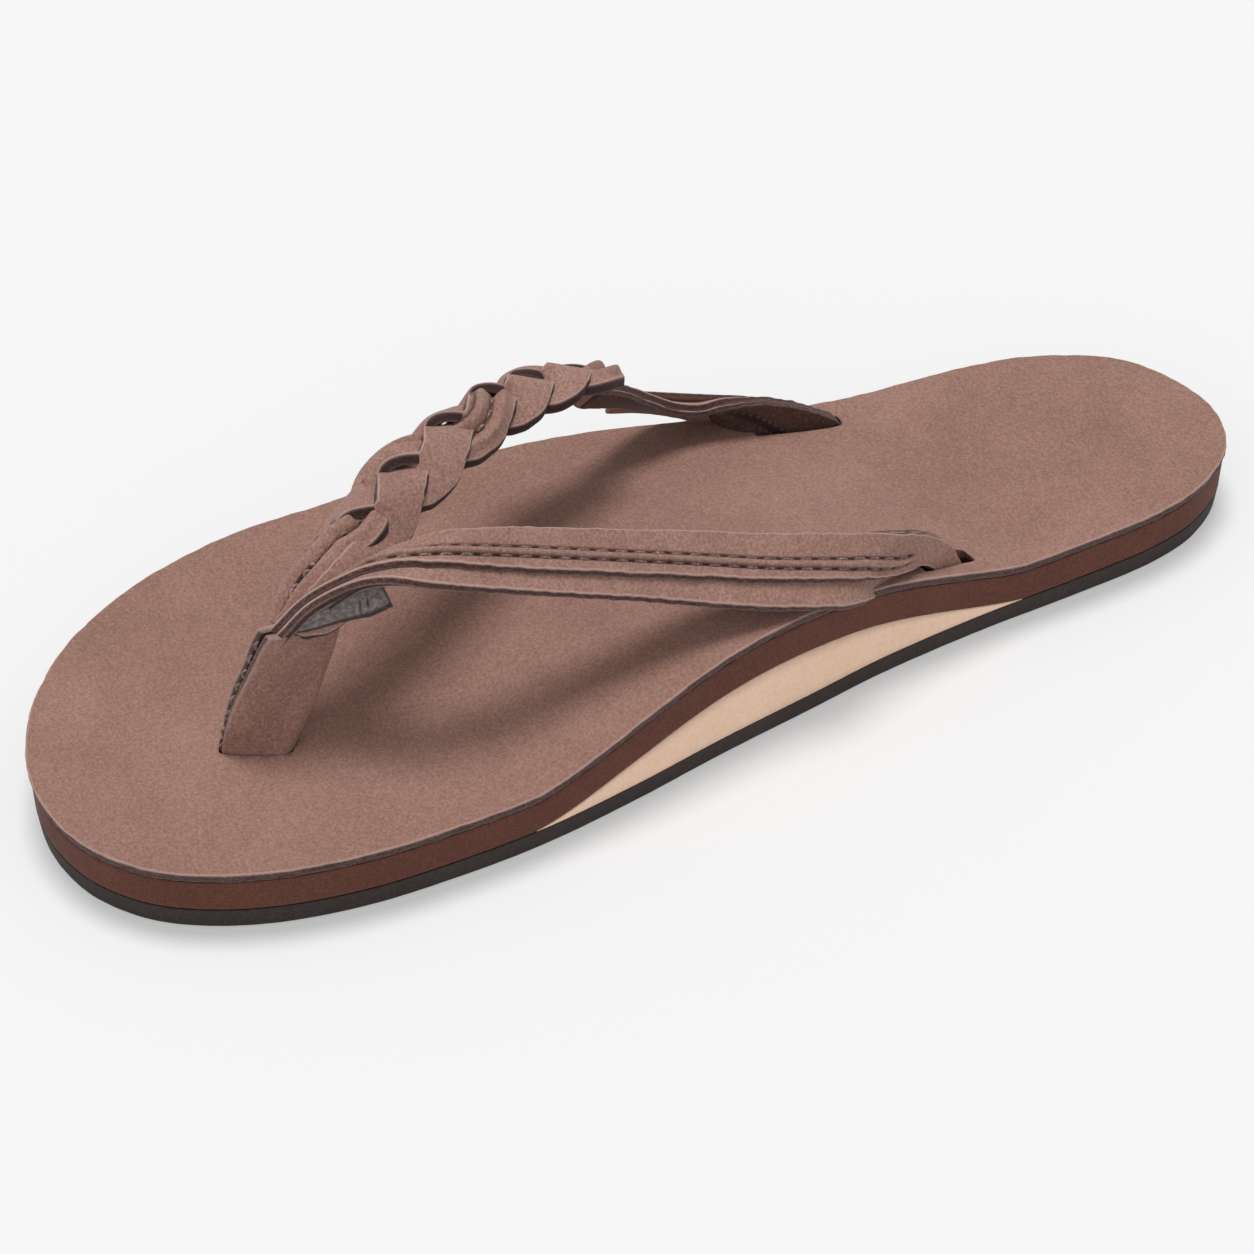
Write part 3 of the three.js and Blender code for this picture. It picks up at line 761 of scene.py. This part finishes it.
def postSection():
    # the folded leather seen from its end: near face, round fold, far face, then back inside
    half, wall, gap = post["thick"] / 2, post["wall"], post["seamGap"] / 2
    seam = half * post["seamPinch"]
    plain = (0, 0, 0)

    def crown(share):
        return half * (0.94 + 0.06 * math.cos(share * 1.4))

    outer = [(-1.0, -gap - 0.2, (0.6, 0.5, 0.4)), (-1.0, -gap - 0.75, (0.8, 0.3, 0)),
             (-0.995, -seam + 0.25, (0.5, 0.9, 0)), (-0.965, -seam, (0.1, 0.6, 0)),
             (-0.9, -seam - 0.06, plain)]
    outer += [(share, -crown(share), plain) for share in np.linspace(-0.75, 0.6, 10)]
    outer += [(0.66 + 0.34 * math.cos(a), half * math.sin(a), plain) for a in np.linspace(-1.35, 1.35, 11)]
    outer += [(share, crown(share), plain) for share in np.linspace(0.6, -0.75, 10)]
    outer += [(-0.9, seam + 0.06, plain), (-0.965, seam, (0.1, 0.6, 0)), (-1.0, seam - 0.25, (0.5, 0.9, 0)),
              (-1.005, gap + 0.75, (0.8, 0.3, 0)), (-1.0, gap + 0.2, (0.6, 0.5, 0.4))]
    # the inside of the fold, darkened with painted shade
    inner = [(-0.93, gap, (0.5, 0, 1)), (-0.6, half - wall, (0, 0, 1)), (0.3, half - wall, (0, 0, 1)),
             (0.62, 0, (0, 0, 1)), (0.3, wall - half, (0, 0, 1)), (-0.6, wall - half, (0, 0, 1)),
             (-0.93, -gap, (0.5, 0, 1))]
    return outer + inner + outer[:1]


def makePostWrap():
    section = postSection()
    shares = np.array([s[0] for s in section])
    lifts = np.array([s[1] for s in section])
    sectionWearAndShade = np.array([s[2] for s in section], float)
    span = post["end"] - post["start"]
    rows = 70

    def place(u, v):
        index = np.round(u * (len(section) - 1)).astype(int)
        # the top edge is cut square to the floor and rises a little towards the fold
        t = post["start"] + span * v * (1 + 0.03 * (shares[index] - 0.2) * v)
        at = postPath(t)
        swell = 1 + 0.1 * bell(v, 0.0, 0.16) * (np.abs(shares[index]) < 0.9)
        reach = shares[index] * at["half"]
        points = at["centre"] + at["across"] * reach[:, None] + at["face"] * (lifts[index] * swell)[:, None]
        soft = roughness(points, 6.0, 0.22, seed=3)
        crease = 0.16 * np.sin(reach * 1.1 + v * 26) * bell(v, 0.02, 0.1)
        points = points + at["face"] * (soft + crease)[:, None] * np.sign(lifts[index])[:, None]
        wearAndShade = sectionWearAndShade[index].copy()
        top = smoothStep(v, 1 - 0.5 / rows, 1)
        inside = top * (wearAndShade[:, 2] > 0.5)
        wearAndShade[:, 0] = np.maximum(wearAndShade[:, 0], inside)
        wearAndShade[:, 2] = wearAndShade[:, 2] * (1 - 0.6 * inside)
        wearAndShade[:, 1] = np.maximum(wearAndShade[:, 1], top * 0.9 * (wearAndShade[:, 2] < 0.5))
        # a band of painted shade low on the post, down where it sinks into the footbed's slot
        wearAndShade[:, 2] = np.maximum(wearAndShade[:, 2], 0.75 * bell(v, 0.075, 0.02) * (wearAndShade[:, 2] < 0.5))
        return points, wearAndShade, np.c_[v * 36, reach]

    return shapedGrid(len(section) - 1, rows, place, caps=True)


def makePostStitches():
    t, lengths = pathLength(postPath, 0.16, post["end"] - 0.01)
    spots = []
    for place in np.arange(1.2, lengths[-1] - 0.5, post["stitchPitch"]):
        reached = [place - post["stitchReach"], place + post["stitchReach"]]
        ends = postPath(np.interp(reached, lengths, t))
        wobble = 0.12 * math.sin(place * 2.1)
        reach = -(ends["half"] + 0.05)
        first = ends["centre"][0] + ends["across"][0] * reach[0] + ends["face"][0] * (-0.42 + wobble)
        second = ends["centre"][1] + ends["across"][1] * reach[1] + ends["face"][1] * (0.3 + wobble)
        spots.append((first, second, -ends["across"][0]))
    return threadPiece(spots, post["threadRadius"])


def makePostCore():
    end = post["end"] - post["coreShort"]
    half = post["coreThick"] / 2
    return leatherBand(postPath, post["start"], end, 30, level(-half), level(half),
                       sides(postPath, *post["coreSides"]), seed=6)


makePiece(makePostCore(), "toePostCore", ["toe_post_webbing"], wovenNylon)
makePiece(makePostWrap(), "toePostWrap", ["toe_post_wrap"], strapLeather)
makePiece(makePostStitches(), "toePostStitches", ["toe_post_thread"], waxedThread)


tongue = {
    "halfThick": 0.7,
    "crown": 0.5,
    "bevel": 0.6,
    "rows": 120,
    "stitchesAt": (0.66, 0.74),  # shares of its length at which the two slanting stitches lie
    "slant": 0.035,
    "stitchWide": 0.012,
}


def makeTongue():
    def high(t, reach):
        return tongue["halfThick"] + tongue["crown"] * bell(reach, 0, 2.0)

    def dark(t, share, reach, lift):
        slanted = t + tongue["slant"] * share
        first, second = (bell(slanted, place, tongue["stitchWide"]) for place in tongue["stitchesAt"])
        lines = first * bell(share, 0.1, 0.5) + second * bell(share, -0.1, 0.5)
        # besides the two stitch lines, painted shade: darker along its lower edge and at its tip under the
        # arch strap
        return smoothStep(share, 0.62, 0.84) + 1.3 * lines + 0.7 * smoothStep(t, 0.975, 0.99)

    return leatherBand(tonguePath, 0.0, 1.0, tongue["rows"], level(-tongue["halfThick"]), high,
                       sides(tonguePath), faceCells=24, ragged=0.35, dark=dark, seed=5, bevel=tongue["bevel"])


makePiece(makeTongue(), "toePostTongue", ["toe_post_tongue"], greySuede)
print("toe post made")


# arch-side strap

archStrap = {
    "thick": 1.5,
    "overlay": 1.4,
    "lining": 0.9,
    "layerGap": 0.05,
    "ridge": 0.7,
    "bevel": 0.8,
    "stitchFrom": -62.0,  # y of the stitch rows' ends
    "stitchTo": 39.0,
    "stitchPitch": 3.7,
    "stitchSpace": 0.5,
    "stitchSunk": 0.2,
    "threadRadius": 0.3,
    "rows": 400,
}
# how far the two sides, the stitch rows and the overlay's edge lie across the strap, at places along y
archLayout = {
    "y": (-78, -68, -61, -55, -48, -35, -15, 3, 18, 24, 28, 31, 34, 36.5, 38.6, 40.8, 43.4, 46, 49.6),
    "upper": (-3.4, -3.5, -3.6, -4, -5, -5.7, -5.8, -6.3, -6.3, -5.8, -5.2, -4.8, -4.9, -5.2, -5.6, -5.9,
              -6.2, -6.7, -6.8),
    "rowUpper": (-1.4, -1.4, -1.4, -1.5, -1.6, -1.6, -1.4, -1.4, -1.1, -0.8, -0.2, 0.1, -0.1, -0.4, -0.9,
                 -1.9, -2.6, -3, -3),
    "rowLower": (0.6, 0.6, 0.6, 0.4, 0.1, 0.1, 0.2, 0.3, 0.6, 1, 1.7, 2, 1.8, 1.4, 0.6, -0.6, -1.6, -2.2,
                 -2.4),
    "overlay": (2, 2, 2, 1.7, 1.8, 2.3, 2.4, 2.4, 2.4, 2.7, 3.4, 3.5, 3.4, 3, 2.5, 1.7, -0.2, -1.4, -2),
    "lower": (3.4, 4, 5, 5.8, 5.7, 6, 6.5, 7.2, 7.5, 7.7, 7.8, 7.9, 7.7, 6.9, 4.6, 1.4, -0.6, -1.8, -2.4),
}


def archReach(name, t):
    return np.interp(archPath(t)["centre"][:, 1], archLayout["y"], archLayout[name])


def archSpan(right, inward=0.0):
    return lambda t: (archReach("upper", t) + inward, archReach(right, t) - inward)


def stitchedPart(t):
    y = archPath(t)["centre"][:, 1]
    return smoothStep(y, -66, -60) * smoothStep(42 - y, 0, 3)


def ridgeLift(t, reach):
    upper, lower = archReach("rowUpper", t), archReach("rowLower", t)
    hump = np.clip(1 - ((reach - (upper + lower) / 2) / ((lower - upper) / 2)) ** 2, 0, 1) ** 0.6
    groove = bell(reach, upper, 0.32) + bell(reach, lower, 0.32)
    return (archStrap["ridge"] * hump - 0.42 * groove) * stitchedPart(t)


baseTop = archStrap["thick"] / 2
liningTop = -baseTop - archStrap["layerGap"]
overlayLow = baseTop + archStrap["layerGap"]


def overlayHigh(t, reach):
    return overlayLow + archStrap["overlay"] + ridgeLift(t, reach)


archLengths = pathLength(archPath)


def stitchHolesAndGrooveShade(t, share, reach, lift):
    # dark needle holes at the end of each stitch, over a steady darkening all along the sunk stitch grooves
    # that is painted shade
    along = np.interp(t, archLengths[0], archLengths[1])
    beat = np.cos(np.pi * along / archStrap["stitchPitch"]) ** 2
    row = bell(reach, archReach("rowUpper", t), 0.3) + bell(reach, archReach("rowLower", t), 0.3)
    return row * (0.75 + 0.6 * beat ** 3) * stitchedPart(t) * (lift > 0.9)


makePiece(
    leatherBand(archPath, 0.0, 1.0, archStrap["rows"], level(-baseTop), level(baseTop), archSpan("lower"),
                faceCells=12, bevel=archStrap["bevel"], ragged=0.18, seed=11),
    "archStrapBase", ["arch_strap_upper"], strapLeather)
makePiece(
    leatherBand(archPath, 0.0, 1.0, archStrap["rows"], level(overlayLow), overlayHigh, archSpan("overlay"),
                faceCells=56, dark=stitchHolesAndGrooveShade, bevel=archStrap["bevel"], ragged=0.2, seed=12),
    "archStrapOverlay", ["arch_strap_overlay"], strapLeather)
makePiece(
    leatherBand(archPath, 0.0, 1.0, archStrap["rows"] // 2, level(liningTop - archStrap["lining"]),
                level(liningTop), archSpan("lower", 0.5), faceCells=6, seed=13),
    "archStrapLining", ["arch_strap_lining"], greySuede)


def archStitches(row):
    t, lengths = archLengths
    y = archPath(t)["centre"][:, 1]
    pitch, space = archStrap["stitchPitch"], archStrap["stitchSpace"]
    first, last = np.interp([archStrap["stitchFrom"], archStrap["stitchTo"]], y, lengths)
    lift = baseTop + archStrap["overlay"] - archStrap["stitchSunk"]
    spots = []
    for place in np.arange(math.ceil(first / pitch) * pitch, last, pitch):
        at = np.interp([place + space, place + pitch - space], lengths, t)
        spots.append(threadSpot(archPath(at), archReach(row, at), lift))
    return threadPiece(spots, archStrap["threadRadius"])


for row in ("Upper", "Lower"):
    makePiece(archStitches("row" + row), "archStitches" + row, ["arch_thread_" + row.lower()],
              waxedThread)
print("arch strap made")


# braid

braid = {
    "turns": 2.71,
    "start": 24.0,  # degrees
    "stations": 8,  # the braid's beat runs from its second station to its last
    "end": 0.905,
    "swing": 4.4,
    "lift": 1.45,
    "roll": -42.0,  # degrees that a strand turns over the braid's rounded sides
    "width": 9.0,
    "thick": 2.3,
    "dome": 0.45,
    "innerBevel": 0.45,
    "rows": 320,
    "ridge": 1.3,
    "innerSideShade": 0.75,  # how much painted shade darkens the strands' inner cut sides, where each tucks under the next strand
    "stitchPitch": 3.2,
    "stitchShare": 0.6,  # share of the pitch that a stitch fills
    "stitchRows": {"Left": 0.86, "Right": 0.0},  # places on the ridge strand, as shares of its half width
    "threadRadius": 0.36,
}
# near the toe the strands lie side by side: place across the braid, lift, and where the weaving begins
strandStarts = {
    "Front": {"side": -1.25, "lift": -0.6, "weaveFrom": 0.15, "weaveFull": 0.25},
    "Ridge": {"side": 0.1, "lift": 1.6, "weaveFrom": 0.14, "weaveFull": 0.23},
    "Rear": {"side": 1.0, "lift": -0.3, "weaveFrom": 0.08, "weaveFull": 0.16},
}


def strandPath(phase, early):
    def centreAt(t):
        at = braidPath(t)
        beat = (t * braid["stations"] - 1) / (braid["stations"] - 1)
        angle = 2 * np.pi * braid["turns"] * beat + phase
        woven = smoothStep(beat, early["weaveFrom"], early["weaveFull"])
        opening = smoothStep(beat, -0.16, 0.05) * (0.4 + 0.6 * smoothStep(1.0 - beat, 0.0, 0.25))
        side = woven * (np.sin(angle) - 0.08 * np.sin(3 * angle)) + (1 - woven) * early["side"]
        lift = woven * -braid["lift"] * np.sin(2 * angle) + (1 - woven) * early["lift"] * opening
        lift = lift * (0.3 + 0.7 * opening)
        moved = at["centre"] + at["across"] * (braid["swing"] * side * opening)[:, None]
        return at, side, opening, moved + at["face"] * lift[:, None]

    def at(t):
        t = np.clip(np.asarray(t, float), 0, 1)
        base, side, opening, centre = centreAt(t)
        ahead, behind = np.clip(t + 2e-3, 0, 1), np.clip(t - 2e-3, 0, 1)
        along = unit(centreAt(ahead)[3] - centreAt(behind)[3])
        across = unit(np.cross(base["face"], along))
        across = across * np.sign((across * base["across"]).sum(axis=1))[:, None]
        face = np.cross(along, across)
        face = face * np.sign((face * base["face"]).sum(axis=1))[:, None]
        roll = np.radians(braid["roll"]) * side * opening
        return {
            "centre": centre,
            "along": along,
            "across": across * np.cos(roll)[:, None] + face * np.sin(roll)[:, None],
            "face": face * np.cos(roll)[:, None] - across * np.sin(roll)[:, None],
            "half": braid["width"] / 2 * (0.5 + 0.5 * opening),
        }

    return at


def strandTop(share):
    return braid["thick"] / 2 * (1 - braid["dome"] * share**2)


def makeStrand(path, ridged, seed):
    def high(t, reach):
        share = reach / path(t)["half"]
        if not ridged:
            return strandTop(share)
        ridges = braid["ridge"] * (bell(share, 0.5, 0.3) + bell(share, -0.45, 0.28))
        return strandTop(share) + ridges - 0.55 * bell(share, 0, 0.12)

    def low(t, reach):
        share = reach / path(t)["half"]
        return -braid["thick"] / 2 * (1 + 0.3 * share**2)

    def dark(t, share, reach, lift):
        # painted shade on the inner cut sides, where each strand tucks under the next
        sideShade = braid["innerSideShade"] * (share < -0.99) * (lift > 0.1) * (lift < 0.9)
        # dark stitch lines on the ridge strand; the middle one lies in the groove and is painted shade as
        # well
        return sideShade + (1.1 * bell(share, 0, 0.1) + bell(share, 0.86, 0.07)) * (lift > 0.9) * ridged

    return leatherBand(path, 0.0, braid["end"], braid["rows"], low, high, sides(path),
                       faceCells=28 if ridged else 14, dark=dark, ragged=0.22,
                       innerBevel=braid["innerBevel"], seed=seed)


def strandStitches(path, share):
    t, lengths = pathLength(path, 0.06, 0.62)
    spots = []
    for place in np.arange(1.0, lengths[-1] - 2, braid["stitchPitch"]):
        reached = [place, place + braid["stitchPitch"] * braid["stitchShare"]]
        ends = path(np.interp(reached, lengths, t))
        spots.append(threadSpot(ends, share * ends["half"], strandTop(share) + 0.05))
    return threadPiece(spots, braid["threadRadius"])


for index, (strandName, early) in enumerate(strandStarts.items()):
    path = strandPath(math.radians(braid["start"]) + 2 * math.pi * index / 3, early)
    makePiece(makeStrand(path, strandName == "Ridge", 20 + index), "braidStrand" + strandName,
              ["braid_strand_" + strandName.lower()], strapLeather)
    if strandName == "Ridge":
        ridgePath = path
for side, share in braid["stitchRows"].items():
    makePiece(strandStitches(ridgePath, share), "braidStitches" + side,
              ["braid_thread_" + side.lower()], waxedThread)
print("braid made")


# outer strap

outerStrap = {
    "rows": 180,
    "outer": 1.3,
    "inner": 1.3,
    "joinLift": -0.1,  # where the outer leather meets its lining
    "farThick": 1.0,
    "seamStart": 0.5,  # shares of the path's length
    "seamEnd": 0.8,
    "seamFrom": 2.2,  # reach across the strap at the seam's start, and how much it grows to its end
    "seamRise": 5.5,
    "stitchStep": 0.032,
    "stitchLong": 0.02,
    "stitchSlant": 0.5,
    "rowShift": 1.1,
    "threadRadius": 0.36,
}


def seamReach(t):
    run = outerStrap["seamEnd"] - outerStrap["seamStart"]
    return outerStrap["seamFrom"] + outerStrap["seamRise"] * (t - outerStrap["seamStart"]) / run


def seamShade(t, share, reach, lift):
    along = smoothStep(t, 0.47, 0.5) * smoothStep(0.84 - t, 0, 0.04)
    return 1.3 * bell(reach, seamReach(t), 1.2) * along * (lift < 0.1)


outerJoin = level(outerStrap["joinLift"])
outerSides = sides(outerPath, 0.0, 2.0)
makePiece(
    leatherBand(outerPath, 0.0, 1.0, outerStrap["rows"], outerJoin, level(outerStrap["outer"]), outerSides,
                faceCells=12, ragged=0.3, seed=31),
    "outerStrapTail", ["outer_strap_upper"], strapLeather)
makePiece(
    leatherBand(outerPath, 0.0, 1.0, outerStrap["rows"], level(-outerStrap["inner"]), outerJoin, outerSides,
                faceCells=40, ragged=0.3, dark=seamShade, seed=32),
    "outerStrapLining", ["outer_strap_lining"], innerLeather)
halfFar = outerStrap["farThick"] / 2
makePiece(
    leatherBand(farPath, 0.0, 1.0, outerStrap["rows"] // 2, level(-halfFar), level(halfFar),
                sides(farPath, 0.0, 2.0), faceCells=8, seed=33),
    "outerStrapFarLayer", ["outer_strap_webbing"], strapLeather)


def tailStitches():
    spots = []
    for t in np.arange(outerStrap["seamStart"], outerStrap["seamEnd"], outerStrap["stitchStep"]):
        ends = outerPath(np.array([t, t + outerStrap["stitchLong"]]))
        for shift in (-outerStrap["rowShift"], outerStrap["rowShift"]):
            reach = seamReach(t) + shift
            reaches = (reach, reach + outerStrap["stitchSlant"])
            spots.append(threadSpot(ends, reaches, 0.05 - outerStrap["inner"], side=-1))
    return threadPiece(spots, outerStrap["threadRadius"])


makePiece(tailStitches(), "outerStrapStitches", ["outer_strap_thread"], innerLeather)
print("outer strap made")


# finishes of the frame's own nodes that stay

for node in ("toe_anchor_plate", "arch_anchor_plate", "outer_anchor_plate", "arch_strap_ridge_core"):
    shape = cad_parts[node].data
    shape.materials.clear()
    shape.materials.append(wovenNylon)


# floor, light and camera

stage = {
    "floorSize": 12.0,  # metres
    "floorDrop": 0.00025,  # metres
    "floorTone": 0.56,
    "floorGlow": 0.345,
    "skyStrength": 0.38,
    "sunStrength": 1.9,
    "fillStrength": 0.4,
    "fillAzimuth": 40.0,
    "fillElevation": 32.0,
    "fillSoftness": 60.0,
    "sunSoftness": 24.0,  # degrees
    "sunAzimuth": -110.0,  # degrees from -Y towards +X that the light comes from
    "sunElevation": 79.0,
}


def makeStage():
    bm = bmesh.new()
    bmesh.ops.create_grid(bm, x_segments=8, y_segments=8, size=stage["floorSize"] / 2)
    bmesh.ops.translate(bm, verts=bm.verts, vec=(0, 0, -stage["floorDrop"]))
    floor = makeObject(bm, "floor")
    paper = bpy.data.materials.new("studioPaper")
    paper.use_nodes = True
    shader = paper.node_tree.nodes["Principled BSDF"]
    shader.inputs["Base Color"].default_value = (stage["floorTone"],) * 3 + (1,)
    shader.inputs["Roughness"].default_value = 1.0
    shader.inputs["Specular IOR Level"].default_value = 0.0
    shader.inputs["Emission Color"].default_value = (1, 1, 1, 1)
    shader.inputs["Emission Strength"].default_value = stage["floorGlow"]
    floor.data.materials.append(paper)
    world = bpy.data.worlds.new("studio")
    bpy.context.scene.world = world
    world.use_nodes = True
    sky = world.node_tree.nodes["Background"]
    sky.inputs["Color"].default_value = (1, 1, 1, 1)
    sky.inputs["Strength"].default_value = stage["skyStrength"]
    for name, light in (("softKey", "sun"), ("softFill", "fill")):
        makeSun(name, *(stage[light + key] for key in ("Strength", "Softness", "Azimuth", "Elevation")))


def makeSun(name, strength, softness, azimuth, elevation):
    lamp = bpy.data.lights.new(name, "SUN")
    lamp.energy = strength
    lamp.angle = math.radians(softness)
    light = bpy.data.objects.new(name, lamp)
    bpy.context.scene.collection.objects.link(light)
    a, e = math.radians(azimuth), math.radians(elevation)
    towards = Vector((math.sin(a) * math.cos(e), -math.cos(a) * math.cos(e), math.sin(e)))
    light.rotation_mode = "QUATERNION"
    light.rotation_quaternion = towards.to_track_quat("Z", "Y")


view = {"azimuth": 61.25, "elevation": 41.0, "distance": 1.0, "lens": 149.17, "sensor": 36.0,
        "target": (-0.000704, -0.000741, 0.0)}


def makeCamera():
    data = bpy.data.cameras.new("camera")
    data.lens, data.sensor_width = view["lens"], view["sensor"]
    data.clip_start, data.clip_end = 0.05, 50
    camera = bpy.data.objects.new("camera", data)
    bpy.context.scene.collection.objects.link(camera)
    a, e = math.radians(view["azimuth"]), math.radians(view["elevation"])
    right = Vector((math.cos(a), math.sin(a), 0))
    back = Vector((math.sin(a) * math.cos(e), -math.cos(a) * math.cos(e), math.sin(e)))
    up = back.cross(right)
    turn = Matrix((right, up, back)).transposed()
    camera.matrix_world = Matrix.Translation(Vector(view["target"]) + back * view["distance"]) @ turn.to_4x4()
    bpy.context.scene.camera = camera


makeStage()
makeCamera()
bpy.context.scene.view_settings.view_transform = "Standard"
print("stage and camera made")
